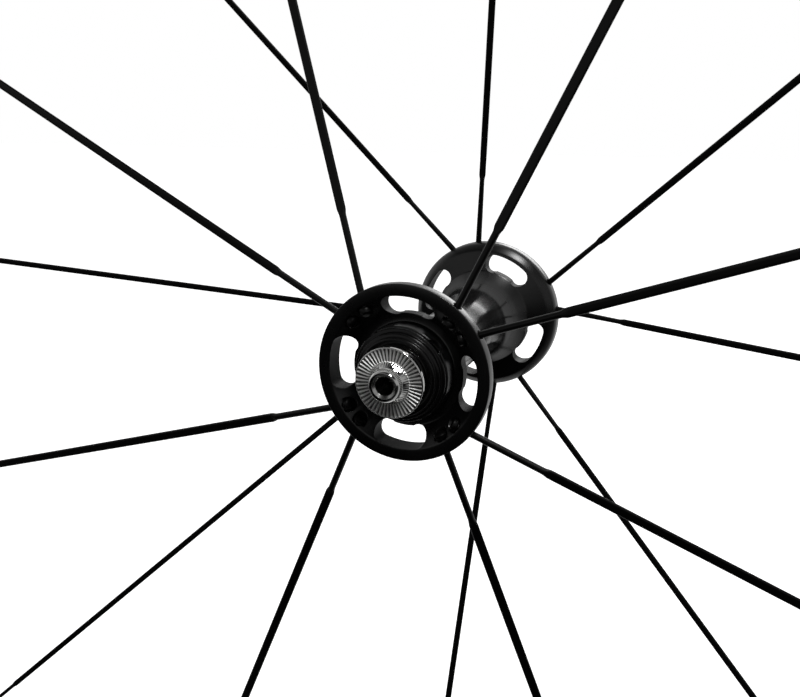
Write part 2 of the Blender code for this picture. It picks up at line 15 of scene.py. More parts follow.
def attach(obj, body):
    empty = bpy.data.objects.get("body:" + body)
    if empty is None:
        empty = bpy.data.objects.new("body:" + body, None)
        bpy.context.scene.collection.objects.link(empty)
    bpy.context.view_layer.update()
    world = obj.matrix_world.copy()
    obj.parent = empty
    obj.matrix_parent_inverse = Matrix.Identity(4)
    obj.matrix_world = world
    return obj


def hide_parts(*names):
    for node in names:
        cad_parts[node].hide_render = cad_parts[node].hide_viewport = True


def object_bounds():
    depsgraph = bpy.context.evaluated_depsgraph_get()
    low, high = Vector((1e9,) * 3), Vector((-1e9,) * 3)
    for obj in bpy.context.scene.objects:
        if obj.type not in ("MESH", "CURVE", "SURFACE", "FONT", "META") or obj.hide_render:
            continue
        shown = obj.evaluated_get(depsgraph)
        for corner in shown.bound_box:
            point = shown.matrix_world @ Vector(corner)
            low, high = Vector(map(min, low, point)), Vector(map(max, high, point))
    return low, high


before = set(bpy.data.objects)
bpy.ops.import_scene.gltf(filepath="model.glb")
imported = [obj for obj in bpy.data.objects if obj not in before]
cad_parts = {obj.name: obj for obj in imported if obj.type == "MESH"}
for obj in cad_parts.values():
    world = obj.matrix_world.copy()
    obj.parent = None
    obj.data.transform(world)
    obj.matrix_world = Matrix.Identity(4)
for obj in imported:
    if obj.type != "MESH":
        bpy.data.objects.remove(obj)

cad_low, cad_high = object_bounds()
print("CAD box in mm:", [round((high - low) * 1000, 1) for low, high in zip(cad_low, cad_high)])

# %% [markdown]
# The axle lies along Y and the wheel stands in the XZ plane. Most parts are round about the axle, so a
# corner is given as a radius and a distance outboard from the middle of the hub. Millimetres are what a
# wheel builder measures in, so the numbers below are in millimetres and one factor turns them to metres.

# %% Driving dimensions in millimetres
MM = 0.001
TOUCH, ON_FACE = 0.01, 0.001
SIDES = {"left": -1, "right": 1}
CLAMP_FACE = 50.0
AXLE_END = 54.0
FLANGE_RADIUS, FLANGE_FACE = 25.05, 41.1
CHAMFER_START, CHAMFER_END, CHAMFER_RADIUS = 37.1, 34.85, 22.6
DISH_RADIUS, DISH_FLOOR, DISH_BACK = 16.1, 36.2, 33.0
BEARING_INNER, BEARING_OUTER = 34.8, 40.8
BEARING_RADIUS, BEARING_FIT = 11.85, 0.3
HOUSING_RADIUS, HOUSING_MOUTH = 13.6, 41.5
AXLE_SHOULDER, INNER_BORE = CLAMP_FACE - 2.8, 6.15
BALL_PITCH_RADIUS, BALL_RADIUS, BALL_COUNT = 9.0, 1.2, 11
SPOKE_PAIRS = 4
PAIR_ANGLES = {"left": math.radians(41.5), "right": math.radians(19.0)}
HUB_HALF_SPREAD = math.radians(11.2)
RIM_HALF_SPREAD = math.radians(22.5)
SPOKE_EXIT_RADIUS, SPOKE_EXIT_OFFSET = 25.4, 39.0
RIM_TIP_RADIUS, RIM_RADIUS = 293.0, 317.0
TYRE_BED_RADIUS, TYRE_BED_WALL, SPOKE_BED_RADIUS = 306.0, 1.4, 294.8
VALVE_ANGLE = PAIR_ANGLES["left"] + math.radians(191.25)
print("spokes:", len(SIDES) * SPOKE_PAIRS * 2)

# %% [markdown]
# A turned part is an outline that goes once round the axle. The outline needs only its corners: each
# corner carries the size of its rounding, and a vertex bevel draws the arc. `bmesh.ops.spin` then
# turns the outline, which keeps the part exactly round.

# %% Helpers for turned parts
ARC_STEPS, WIDE_ARC_STEPS = 3, 10
WIDE_ARC = 1.5


def outline(shape, corners):
    """Close an outline of (radius, distance along the axle, rounding) corners and round its corners."""
    points = [shape.verts.new((radius * MM, along * MM, 0.0)) for radius, along, _ in corners]
    for first, second in zip(points, points[1:] + points[:1]):
        shape.edges.new((first, second))
    for point, (_, _, rounding) in zip(points, corners):
        if rounding:
            bmesh.ops.bevel(shape, geom=[point], offset=rounding * MM, offset_type="OFFSET",
                            affect="VERTICES", segments=WIDE_ARC_STEPS if rounding > WIDE_ARC else ARC_STEPS,
                            profile=0.5, material=-1)


def turn(shape, steps):
    """Spin everything in the bmesh once round the axle and point its faces outwards."""
    bmesh.ops.spin(shape, geom=shape.verts[:] + shape.edges[:], cent=(0.0, 0.0, 0.0), axis=(0.0, 1.0, 0.0),
                   dvec=(0.0, 0.0, 0.0), angle=2 * math.pi, steps=steps, use_merge=True)
    bmesh.ops.recalc_face_normals(shape, faces=shape.faces[:])


def turned_shape(corners, steps, side=1):
    """A closed turned solid. The distances run outboard on the side that is given."""
    shape = bmesh.new()
    outline(shape, [(radius, side * along, rounding) for radius, along, rounding in corners])
    turn(shape, steps)
    return shape


def ring(inner, outer, low, high, rounding):
    """The outline of a plain ring with rounded corners."""
    return [(outer, high, rounding), (outer, low, rounding), (inner, low, rounding), (inner, high, rounding)]


# %% [markdown]
# A finished piece rides on one body of the frame and stands for one CAD part. Its object stays at the
# origin, so the place is in the mesh. Shading is smooth, except over edges sharper than 35 degrees.

# %% Helper that finishes a piece
SHARP_ANGLE = math.radians(35)


def mesh_object(name, shape):
    """Turn a bmesh into an object of the scene."""
    mesh = bpy.data.meshes.new(name)
    shape.to_mesh(mesh)
    shape.free()
    obj = bpy.data.objects.new(name, mesh)
    bpy.context.scene.collection.objects.link(obj)
    return obj


def turned_object(name, corners, steps, side=1):
    """Turn an outline and make it an object."""
    return mesh_object(name, turned_shape(corners, steps, side))


def finish_piece(obj, body, node, slot, *materials):
    """Give a piece its materials and its body, and hide the CAD part that it stands for."""
    for material in materials:
        obj.data.materials.append(material)
    obj.data.shade_smooth()
    obj.data.set_sharp_from_angle(angle=SHARP_ANGLE)
    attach(obj, body)
    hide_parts(node)
    return obj


def cut_away(obj, *cutters):
    """Subtract the cutters one after the other and keep only the result."""
    for cutter in cutters:
        boolean = obj.modifiers.new("cut", "BOOLEAN")
        boolean.operation = "DIFFERENCE"
        boolean.solver = "EXACT"
        boolean.object = cutter
    evaluated = obj.evaluated_get(bpy.context.evaluated_depsgraph_get())
    result = bpy.data.meshes.new_from_object(evaluated)
    obj.modifiers.clear()
    obj.data = result
    for cutter in cutters:
        bpy.data.objects.remove(cutter, do_unlink=True)


def wheel_point(radius, angle, along):
    """A point at a radius and angle in the wheel's plane, and a distance along the axle, in millimetres."""
    return Vector((radius * math.cos(angle), along, radius * math.sin(angle))) * MM


def add_cylinder(shape, start, end, radius, segments):
    """Add a closed cylinder between two points to the bmesh."""
    span = end - start
    place = Matrix.Translation((start + end) / 2) @ span.to_track_quat("Z", "Y").to_matrix().to_4x4()
    bmesh.ops.create_cone(shape, cap_ends=True, segments=segments, radius1=radius * MM, radius2=radius * MM,
                          depth=span.length, matrix=place)


# %% [markdown]
# ## Finishes
# Every metal part here has been turned, drawn or rolled, so the same few marks come back: fine rings from
# the lathe, a slight grain, smudges from handling, and edges where the finish has thinned. Each mark is
# one node group with named sockets, and each material places it with its own values.

# %% Helpers that start a node group and fill it
def new_group(name, inputs, outputs):
    """Make a shader node group with float inputs and typed outputs."""
    group = bpy.data.node_groups.new(name, "ShaderNodeTree")
    for socket, default in inputs.items():
        given = group.interface.new_socket(name=socket, in_out="INPUT", socket_type="NodeSocketFloat")
        given.default_value = default
    for socket, kind in outputs.items():
        group.interface.new_socket(name=socket, in_out="OUTPUT", socket_type=kind)
    return group, group.nodes.new("NodeGroupInput"), group.nodes.new("NodeGroupOutput")


def feed(tree, value, socket):
    """Set a socket to a number or colour, or link another socket to it."""
    if isinstance(value, (int, float, tuple)):
        socket.default_value = value
    else:
        tree.links.new(value, socket)


def math_node(tree, operation, first, second=None):
    """A Math node whose inputs are sockets or numbers."""
    node = tree.nodes.new("ShaderNodeMath")
    node.operation = operation
    feed(tree, first, node.inputs[0])
    if second is not None:
        feed(tree, second, node.inputs[1])
    return node.outputs[0]


def range_node(tree, value, low, high, start=0.0, end=1.0, smooth=False):
    """A change from one level to another while the value goes from low to high."""
    node = tree.nodes.new("ShaderNodeMapRange")
    if smooth:
        node.interpolation_type = "SMOOTHSTEP"
    given = {"Value": value, "From Min": low, "From Max": high, "To Min": start, "To Max": end}
    for name, level in given.items():
        feed(tree, level, node.inputs[name])
    return node.outputs["Result"]


def mix_node(tree, share, first, second):
    """A colour that goes from the first to the second."""
    node = tree.nodes.new("ShaderNodeMix")
    node.data_type = "RGBA"
    for name, value in {"Factor": share, "A": first, "B": second}.items():
        feed(tree, value, node.inputs[name])
    return node.outputs["Result"]


def split(tree, position):
    """The X, Y and Z of a position."""
    parts = tree.nodes.new("ShaderNodeSeparateXYZ")
    tree.links.new(position, parts.inputs[0])
    return parts.outputs["X"], parts.outputs["Y"], parts.outputs["Z"]


def on_piece(tree):
    """Object coordinates: the position on the piece itself."""
    return tree.nodes.new("ShaderNodeTexCoord").outputs["Object"]


def noise_node(tree, position, scale, detail=3.0):
    """A Noise texture that reads a position."""
    node = tree.nodes.new("ShaderNodeTexNoise")
    node.inputs["Detail"].default_value = detail
    tree.links.new(position, node.inputs["Vector"])
    feed(tree, scale, node.inputs["Scale"])
    return node.outputs["Fac"]


def flat_noise(tree, first, second, scale):
    """A Noise texture that reads two values as its position."""
    position = tree.nodes.new("ShaderNodeCombineXYZ")
    tree.links.new(first, position.inputs["X"])
    tree.links.new(second, position.inputs["Y"])
    return noise_node(tree, position.outputs[0], scale, 2.0)


# %% [markdown]
# Lathe marks are rings about the axle. Reading a noise texture at (radius, distance along the axle) gives
# them for free: both coordinates are the same all the way round, so the noise is too.

# %% Group: rings left by the lathe
def make_lathe_rings():
    tree, given, out = new_group("lathe_rings", {"Rings per metre": 4000.0}, {"Height": "NodeSocketFloat"})
    x, y, z = split(tree, on_piece(tree))
    square = math_node(tree, "ADD", math_node(tree, "MULTIPLY", x, x), math_node(tree, "MULTIPLY", z, z))
    noise = flat_noise(tree, math_node(tree, "SQRT", square), y, given.outputs["Rings per metre"])
    tree.links.new(noise, out.inputs["Height"])
    return tree


lathe_rings = make_lathe_rings()

# %% [markdown]
# Grain is the fine texture of an anodised or blasted surface. Smudges are much larger and only change how
# dull the surface is. Both are plain noise at two very different sizes.

# %% Group: grain and smudges
SMUDGE_CLEAN, SMUDGE_FULL = 0.35, 0.7


def make_grain():
    tree, given, out = new_group("grain_and_smudges", {"Grain per metre": 6000.0, "Smudges per metre": 60.0},
                                 {"Grain": "NodeSocketFloat", "Smudge": "NodeSocketFloat"})
    spot = on_piece(tree)
    tree.links.new(noise_node(tree, spot, given.outputs["Grain per metre"], 2.0), out.inputs["Grain"])
    smudge = noise_node(tree, spot, given.outputs["Smudges per metre"], 5.0)
    tree.links.new(range_node(tree, smudge, SMUDGE_CLEAN, SMUDGE_FULL), out.inputs["Smudge"])
    return tree


grain_and_smudges = make_grain()

# %% [markdown]
# A Bevel node gives the normal that the surface would have if its edges were rounded. Where that normal
# leans away from the true one there is an edge, so the difference is a mask for wear. The rounded normal
# is put out too, and catches light along every edge as a broken edge does.

# %% Group: rounded and worn edges
LEAN_FLAT, LEAN_EDGE = 0.97, 0.80
PATCH_WHOLE, PATCH_WORN = 0.42, 0.62


def make_edge_wear():
    tree, given, out = new_group("edge_wear", {"Radius": 0.0003, "Patches per metre": 300.0},
                                 {"Mask": "NodeSocketFloat", "Rounded": "NodeSocketVector"})
    bevel = tree.nodes.new("ShaderNodeBevel")
    bevel.samples = 4
    tree.links.new(given.outputs["Radius"], bevel.inputs["Radius"])
    true_normal = tree.nodes.new("ShaderNodeNewGeometry")
    lean = tree.nodes.new("ShaderNodeVectorMath")
    lean.operation = "DOT_PRODUCT"
    tree.links.new(bevel.outputs["Normal"], lean.inputs[0])
    tree.links.new(true_normal.outputs["Normal"], lean.inputs[1])
    edge = range_node(tree, lean.outputs["Value"], LEAN_FLAT, LEAN_EDGE)
    patches = noise_node(tree, on_piece(tree), given.outputs["Patches per metre"], 4.0)
    worn = range_node(tree, patches, PATCH_WHOLE, PATCH_WORN)
    tree.links.new(math_node(tree, "MULTIPLY", edge, worn), out.inputs["Mask"])
    tree.links.new(bevel.outputs["Normal"], out.inputs["Rounded"])
    return tree


edge_wear = make_edge_wear()

# %% [markdown]
# Rolled and drawn wire has no rings. It carries faint lines along its length, which a noise texture gives
# when it is read far more finely round the wire than along it. Every spoke lies along a different line,
# so its mesh carries a UV map: U runs round the wire and V runs along it.

# %% Group: lines along drawn wire
def make_drawn_lines():
    tree, given, out = new_group("drawn_lines", {"Lines round": 40.0, "Lines along": 0.2},
                                 {"Height": "NodeSocketFloat"})
    u, v, _ = split(tree, tree.nodes.new("ShaderNodeUVMap").outputs["UV"])
    across = math_node(tree, "MULTIPLY", u, given.outputs["Lines round"])
    along = math_node(tree, "MULTIPLY", v, given.outputs["Lines along"])
    tree.links.new(flat_noise(tree, across, along, 1.0), out.inputs["Height"])
    return tree


drawn_lines = make_drawn_lines()

# %% [markdown]
# Painted shade lies in the bottoms of the grooves between the teeth, as a near-black colour. The clamping
# faces lie at a known distance from the middle of the hub, so the depth below them is all that the mask
# needs.

# %% Group: painted shade in the grooves of the clamping face
# Painted shade: the near-black colour laid in the groove bottoms, where shade falls between the teeth.
GROOVE_SHADE_COLOUR = (0.03, 0.03, 0.028, 1.0)


def make_painted_groove_shade():
    """Painted shade: full in the bottom of a groove, nothing at the tips of the teeth, and patchy in between.
    """
    tree, given, out = new_group("painted_groove_shade", {"Bottom": 0.0494, "Tip": 0.0499, "Most": 0.9},
                                 {"Mask": "NodeSocketFloat"})
    _, y, _ = split(tree, on_piece(tree))
    full = range_node(tree, math_node(tree, "ABSOLUTE", y), given.outputs["Bottom"], given.outputs["Tip"],
                      given.outputs["Most"], 0.0)
    patches = math_node(tree, "ADD", noise_node(tree, on_piece(tree), 900.0), 0.5)
    tree.links.new(math_node(tree, "MULTIPLY", full, patches), out.inputs["Mask"])
    return tree


painted_groove_shade = make_painted_groove_shade()

# %% [markdown]
# One recipe serves every hard finish. The base colour goes from the finish to the worn colour along the
# edges, the smudges shift the roughness, and the marks meet in one Bump node.

# %% Recipe for a hard finish
def place_group(tree, group, **values):
    """Add a group node and set its inputs, whose names are given with underscores for spaces."""
    node = tree.nodes.new("ShaderNodeGroup")
    node.node_tree = group
    for name, value in values.items():
        node.inputs[name.replace("_", " ")].default_value = value
    return node


MARK_DISTANCE = 0.00001


def hard_finish(name, colour, worn_colour, metallic, roughness, marks, mark_height, smudge=0.08,
                grain_height=0.3, edge_radius=0.0003, wear=0.5, specular=0.5, groove_shade=False):
    """A metal, coated or plastic finish with its marks, grain, smudges, worn edges and optional painted
    groove shade.
    """
    material = bpy.data.materials.new(name)
    material.use_nodes = True
    tree = material.node_tree
    shader = tree.nodes["Principled BSDF"]
    shader.inputs["Metallic"].default_value = metallic
    shader.inputs["Specular IOR Level"].default_value = specular
    edges = place_group(tree, edge_wear, Radius=edge_radius)
    surface = place_group(tree, grain_and_smudges)
    share = math_node(tree, "MULTIPLY", edges.outputs["Mask"], wear)
    finish_colour = mix_node(tree, share, (*colour, 1.0), (*worn_colour, 1.0))
    # Painted shade: the groove bottoms are darkened towards a near-black colour.
    if groove_shade:
        painted_shade = place_group(tree, painted_groove_shade).outputs["Mask"]
        finish_colour = mix_node(tree, painted_shade, finish_colour, GROOVE_SHADE_COLOUR)
    tree.links.new(finish_colour, shader.inputs["Base Color"])
    shift = math_node(tree, "MULTIPLY", surface.outputs["Smudge"], smudge)
    tree.links.new(math_node(tree, "ADD", shift, roughness), shader.inputs["Roughness"])
    grain = math_node(tree, "MULTIPLY", surface.outputs["Grain"], grain_height)
    lines = math_node(tree, "MULTIPLY", marks(tree), mark_height)
    bump = tree.nodes.new("ShaderNodeBump")
    bump.inputs["Strength"].default_value = 1.0
    bump.inputs["Distance"].default_value = MARK_DISTANCE
    tree.links.new(math_node(tree, "ADD", grain, lines), bump.inputs["Height"])
    tree.links.new(edges.outputs["Rounded"], bump.inputs["Normal"])
    tree.links.new(bump.outputs["Normal"], shader.inputs["Normal"])
    material.diffuse_color = (*colour, 1.0)
    return material


def rings(per_metre):
    """Marks of a lathe at a given fineness."""
    return lambda tree: place_group(tree, lathe_rings, Rings_per_metre=per_metre).outputs["Height"]


def wire_lines(tree):
    """Marks of a drawing die."""
    return place_group(tree, drawn_lines).outputs["Height"]


# %% The finishes of this wheel
black_anodised = hard_finish("black_anodised", (0.003, 0.003, 0.0031), (0.02, 0.02, 0.021), 0.0, 0.24,
                             rings(5000.0), 0.12, grain_height=0.08, wear=0.4)
milled_black = hard_finish("milled_black", (0.002, 0.002, 0.002), (0.02, 0.02, 0.02), 0.0, 0.5,
                           rings(900.0), 1.2, wear=0.3, specular=0.2)
barrel_black = hard_finish("barrel_black", (0.003, 0.003, 0.0031), (0.02, 0.02, 0.021), 0.0, 0.14,
                           rings(5000.0), 0.06, smudge=0.05, grain_height=0.06)
dust_cap_black = hard_finish("dust_cap_black", (0.002, 0.002, 0.002), (0.01, 0.01, 0.01), 0.0, 0.22,
                             rings(3000.0), 0.15, smudge=0.05, grain_height=0.05, specular=0.3)
locknut_silver = hard_finish("locknut_silver", (0.62, 0.62, 0.61), (0.85, 0.85, 0.84), 1.0, 0.07,
                             rings(6000.0), 0.03, smudge=0.03, grain_height=0.02, edge_radius=0.0001)
# The pressed teeth carry painted shade in the bottoms of their grooves.
pressed_silver = hard_finish("pressed_silver", (0.9, 0.9, 0.89), (0.95, 0.95, 0.94), 1.0, 0.52,
                             rings(6000.0), 0.3, smudge=0.1, edge_radius=0.00005, groove_shade=True)
axle_silver = hard_finish("axle_silver", (0.5, 0.5, 0.49), (0.7, 0.7, 0.7), 1.0, 0.22, rings(4000.0), 0.8,
                          edge_radius=0.0002)
bearing_steel = hard_finish("bearing_steel", (0.6, 0.6, 0.6), (0.7, 0.7, 0.7), 1.0, 0.1, rings(8000.0), 0.2)
ball_steel = hard_finish("ball_steel", (0.65, 0.65, 0.65), (0.7, 0.7, 0.7), 1.0, 0.05, rings(9000.0), 0.05)
seal_rubber = hard_finish("seal_rubber", (0.02, 0.02, 0.02), (0.04, 0.04, 0.04), 0.0, 0.6, rings(2500.0), 1.0)
spoke_black = hard_finish("spoke_black", (0.001, 0.001, 0.001), (0.01, 0.01, 0.01), 0.0, 0.35,
                          wire_lines, 0.6, edge_radius=0.0001, specular=0.2)
nipple_black = hard_finish("nipple_black", (0.01, 0.01, 0.01), (0.3, 0.3, 0.3), 0.3, 0.3, rings(3000.0), 0.3)
rim_black = hard_finish("rim_black", (0.008, 0.008, 0.008), (0.05, 0.05, 0.05), 0.0, 0.35, rings(1500.0), 0.5)
brake_track = hard_finish("brake_track", (0.55, 0.55, 0.54), (0.7, 0.7, 0.7), 1.0, 0.3, rings(2500.0), 2.5)
tape_red = hard_finish("tape_red", (0.55, 0.07, 0.03), (0.6, 0.12, 0.06), 0.0, 0.5, rings(1200.0), 1.5)
print("materials:", len(bpy.data.materials))

# %% [markdown]
# ## Hub shell
# The barrel and both flanges are turned from one bar. Each flange is a flat ring with a dish inside it and a
# wide chamfer at the back, and four windows go through it. The outline below is one half, and its mirror
# image closes it.

# %% Turn the hub shell
HUB_STEPS = 160


def hub_half():
    """Corners of one half of the shell, from the housing's mouth to the middle of the barrel."""
    return [
        (BEARING_RADIUS + BEARING_FIT, HOUSING_MOUTH, 0.2), (HOUSING_RADIUS, HOUSING_MOUTH, 0.35),
        (HOUSING_RADIUS, DISH_FLOOR, 0.5), (DISH_RADIUS, DISH_FLOOR, 0.4), (21.6, FLANGE_FACE, 0.3),
        (FLANGE_RADIUS, FLANGE_FACE, 0.2), (FLANGE_RADIUS, CHAMFER_START, 0.9),
        (CHAMFER_RADIUS, CHAMFER_END, 0.5), (DISH_RADIUS, DISH_BACK, 0.3), (11.6, 27.0, 4.0),
        (9.9, 17.0, 4.0),
    ]


def bore_half():
    """Corners of the bearing seat and the barrel's bore on one side."""
    shoulder = BEARING_INNER - BEARING_FIT
    return [(8.4, shoulder, 0.2), (BEARING_RADIUS + BEARING_FIT, shoulder, 0.0)]


def mirrored(half):
    """The same corners on the other side of the middle plane, in the opposite order."""
    return [(radius, -along, rounding) for radius, along, rounding in reversed(half)]


def both_halves(half):
    """Complete an outline with its mirror image."""
    return half + mirrored(half)


def hub_outline():
    """The whole closed outline: out along the surface and back along the bore."""
    return both_halves(hub_half()) + mirrored(bore_half()) + bore_half()


hub_shell = turned_object("drilled_hub_shell", hub_outline(), HUB_STEPS)
print("hub faces before cutting:", len(hub_shell.data.polygons))

# %% [markdown]
# Each window is made as a machinist makes it: a drill opens both ends, and a cutter then clears the metal
# between them. A spun rectangle is the milled part, and two cylinders are the drilled ends.

# %% Cut the windows
WINDOW_OUTER, WINDOW_INNER, WINDOW_END = 21.7, 16.2, 2.9
WINDOW_HALF_ANGLE = math.radians(23.6)
WINDOW_STEPS = 24
DRILL_SEGMENTS, HOLE_SEGMENTS = 48, 24
CUT_MARGIN = 2.0


def pair_angles(side_name):
    """Middle angle of each pair of spokes on one flange."""
    return [PAIR_ANGLES[side_name] + index * 2 * math.pi / SPOKE_PAIRS for index in range(SPOKE_PAIRS)]


def add_milled_sector(shape, middle, half_angle, low, high):
    """A rectangle swept about the axle between two angles."""
    corners = [(WINDOW_INNER, low), (WINDOW_OUTER, low), (WINDOW_OUTER, high), (WINDOW_INNER, high)]
    points = [shape.verts.new(wheel_point(radius, middle - half_angle, along)) for radius, along in corners]
    start = shape.faces.new(points)
    bmesh.ops.spin(shape, geom=[start], cent=(0.0, 0.0, 0.0), axis=(0.0, -1.0, 0.0),
                   dvec=(0.0, 0.0, 0.0), angle=2 * half_angle, steps=WINDOW_STEPS)


def window_cutters():
    """One object that holds the drilled ends and one that holds the milled sectors."""
    ends = bmesh.new()
    sectors = bmesh.new()
    centre = WINDOW_OUTER - WINDOW_END
    bend = WINDOW_HALF_ANGLE - math.asin(WINDOW_END / centre)
    for side_name, side in SIDES.items():
        low, high = sorted((side * (DISH_BACK - CUT_MARGIN), side * (FLANGE_FACE + CUT_MARGIN)))
        for middle in pair_angles(side_name):
            window = middle + math.pi / SPOKE_PAIRS
            add_milled_sector(sectors, window, bend, low, high)
            for angle in (window - bend, window + bend):
                add_cylinder(ends, wheel_point(centre, angle, low), wheel_point(centre, angle, high),
                             WINDOW_END, DRILL_SEGMENTS)
    bmesh.ops.recalc_face_normals(sectors, faces=sectors.faces[:])
    return mesh_object("drilled_ends", ends), mesh_object("milled_sectors", sectors)


cut_away(hub_shell, *window_cutters())
print("hub faces with windows:", len(hub_shell.data.polygons))

# %% [markdown]
# The spokes are straight pull: each one runs in a hole from the flange's edge, and its head sits in a wider
# counterbore that opens into the dish. The hole's line is the spoke's own line, so it is worked out once
# here and used again for the spokes and nipples.

# %% Drill the spoke holes
SPOKE_SEAT = 4.6
SPOKE_HOLE, COUNTERBORE = 1.3, 2.1
COUNTERBORE_MOUTH_RADIUS = 15.4


def spoke_lines(side_name):
    """Number, flange exit point, direction and rim angle of every spoke on one flange."""
    lines = []
    for middle in pair_angles(side_name):
        for hand in (-1, 1):
            exit_point = wheel_point(SPOKE_EXIT_RADIUS, middle + hand * HUB_HALF_SPREAD,
                                     SIDES[side_name] * SPOKE_EXIT_OFFSET)
            rim_angle = middle + hand * RIM_HALF_SPREAD
            rim_point = wheel_point(RIM_TIP_RADIUS, rim_angle, 0.0)
            lines.append((len(lines) + 1, exit_point, (rim_point - exit_point).normalized(), rim_angle))
    return lines


def along_spoke(exit_point, direction, radius):
    """How far in millimetres from the flange edge a spoke reaches a given wheel radius."""
    flat_exit = Vector((exit_point.x, exit_point.z)) / MM
    flat_direction = Vector((direction.x, direction.z))
    square = flat_direction.length_squared
    half_linear = flat_exit.dot(flat_direction)
    constant = flat_exit.length_squared - radius * radius
    return (-half_linear + math.sqrt(half_linear ** 2 - square * constant)) / square


def spoke_hole_cutters():
    """Counterbores of each hand in one object, and all through holes in a third. None overlaps another."""
    bores = {0: bmesh.new(), 1: bmesh.new()}
    holes = bmesh.new()
    for side_name in SIDES:
        for number, exit_point, direction, _ in spoke_lines(side_name):
            seat = exit_point - direction * SPOKE_SEAT * MM
            depth = along_spoke(exit_point, -direction, COUNTERBORE_MOUTH_RADIUS)
            mouth = exit_point - direction * depth * MM
            add_cylinder(bores[number % 2], mouth, seat, COUNTERBORE, HOLE_SEGMENTS)
            add_cylinder(holes, seat - direction * MM, exit_point + direction * CUT_MARGIN * MM,
                         SPOKE_HOLE, HOLE_SEGMENTS)
    odd, even = (mesh_object("counterbores", shape) for shape in bores.values())
    return odd, even, mesh_object("spoke_holes", holes)


BARREL_LOW, BARREL_HIGH, BARREL_END = 9.0, 12.5, 30.0
SKIN, WALL_SLOPE = 0.1, 0.3


def mark_surfaces(obj):
    """Give the walls of the windows and counterbores the second material and the barrel the third."""
    for face in obj.data.polygons:
        radius = math.hypot(face.center.x, face.center.z) / MM
        along = abs(face.center.y) / MM
        if BARREL_LOW < radius < BARREL_HIGH and along < BARREL_END:
            face.material_index = 2
        inside = HOUSING_RADIUS + SKIN < radius < FLANGE_RADIUS - SKIN and along < FLANGE_FACE - TOUCH
        if inside and abs(face.normal.y) < WALL_SLOPE:
            face.material_index = 1


cut_away(hub_shell, *spoke_hole_cutters())
finish_piece(hub_shell, "wheel", "hub_shell", "black_anodised", black_anodised, milled_black, barrel_black)
mark_surfaces(hub_shell)
print("hub faces:", len(hub_shell.data.polygons))

# %% [markdown]
# ## Locknuts
# The locknut clamps the fork. Its face carries fine radial serrations that bite into the dropout, and a
# short stub locates the wheel. After the spin, every tooth is a few steps wide, so the steps in between
# are pushed inwards to make the grooves. The teeth are pressed and dull, and the rest is turned and bright.

# %% Turn and serrate the locknuts
TOOTH_COUNT = 50
TOOTH_PROFILE = (0.0, 0.0, 0.5, 1.0, 1.0, 0.5)
TOOTH_DEPTH = 0.55
COLLAR_RADIUS, TEETH_INNER, TEETH_OUTER = 5.85, 6.1, 9.4
LOCKNUT_RADIUS, LOCKNUT_BACK, LOCKNUT_BORE = 9.75, 47.5, 3.8


def locknut_outline():
    """Disc, serrated face, coned collar, stub and bore."""
    return [
        (9.2, LOCKNUT_BACK, 0.0), (LOCKNUT_RADIUS, LOCKNUT_BACK + 0.4, 0.1),
        (LOCKNUT_RADIUS, CLAMP_FACE, 0.3), (TEETH_OUTER, CLAMP_FACE, 0.0), (TEETH_INNER, CLAMP_FACE, 0.0),
        (COLLAR_RADIUS, CLAMP_FACE, 0.0), (4.5, 51.5, 0.15), (4.45, AXLE_END - 0.7, 0.15),
        (3.95, AXLE_END, 0.1), (LOCKNUT_BORE, AXLE_END, 0.0), (LOCKNUT_BORE, LOCKNUT_BACK, 0.1),
    ]


def cut_serrations(shape, side):
    """Push the grooves between the teeth into the clamping face."""
    steps = TOOTH_COUNT * len(TOOTH_PROFILE)
    for vertex in shape.verts:
        radius = math.hypot(vertex.co.x, vertex.co.z) / MM
        on_face = abs(abs(vertex.co.y) / MM - CLAMP_FACE) < ON_FACE
        if not on_face or not TEETH_INNER - TOUCH < radius < TEETH_OUTER + TOUCH:
            continue
        step = round(math.atan2(vertex.co.z, vertex.co.x) / (2 * math.pi) * steps)
        share = TOOTH_PROFILE[step % len(TOOTH_PROFILE)]
        vertex.co.y -= side * share * TOOTH_DEPTH * MM


def mark_teeth(obj):
    """Give the pressed teeth the second, duller material."""
    for face in obj.data.polygons:
        radius = math.hypot(face.center.x, face.center.z) / MM
        if COLLAR_RADIUS < radius < TEETH_OUTER and abs(face.center.y) / MM > CLAMP_FACE - 2 * TOOTH_DEPTH:
            face.material_index = 1


for side_name, side in SIDES.items():
    nut_shape = turned_shape(locknut_outline(), TOOTH_COUNT * len(TOOTH_PROFILE), side)
    cut_serrations(nut_shape, side)
    nut = mesh_object("serrated_locknut_" + side_name, nut_shape)
    finish_piece(nut, "axle_set", "locknut_" + side_name, "polished_steel", locknut_silver, pressed_silver)
    mark_teeth(nut)
    print(nut.name, "faces:", len(nut.data.polygons))

# %% [markdown]
# ## Axle and sleeves
# The axle is hollow for the skewer, and its ends sit a little inside the stubs. Two sleeves hold the inner
# rings in place. Each sleeve has a shallow groove where the dust cap's lip runs.

# %% Turn the axle and its sleeves
AXLE_STEPS = 96
AXLE_BORE, AXLE_END_RADIUS, AXLE_RADIUS = 2.6, 3.5, 5.85
MOUTH_DEPTH = 0.65


def axle_outline():
    """A tube that is stepped down at both ends, with a chamfered mouth."""
    end = AXLE_END - 0.4
    outer = [(AXLE_END_RADIUS - 0.15, end, 0.0), (AXLE_END_RADIUS, end - 0.15, 0.0),
             (AXLE_END_RADIUS, AXLE_SHOULDER, 0.0), (AXLE_RADIUS, AXLE_SHOULDER, 0.4)]
    bore = [(AXLE_BORE, MOUTH_DEPTH - end, 0.0), (AXLE_BORE, end - MOUTH_DEPTH, 0.0)]
    return both_halves(outer) + bore


hollow_axle = turned_object("hollow_axle", axle_outline(), AXLE_STEPS)
finish_piece(hollow_axle, "axle_set", "axle", "axle_alloy", axle_silver)


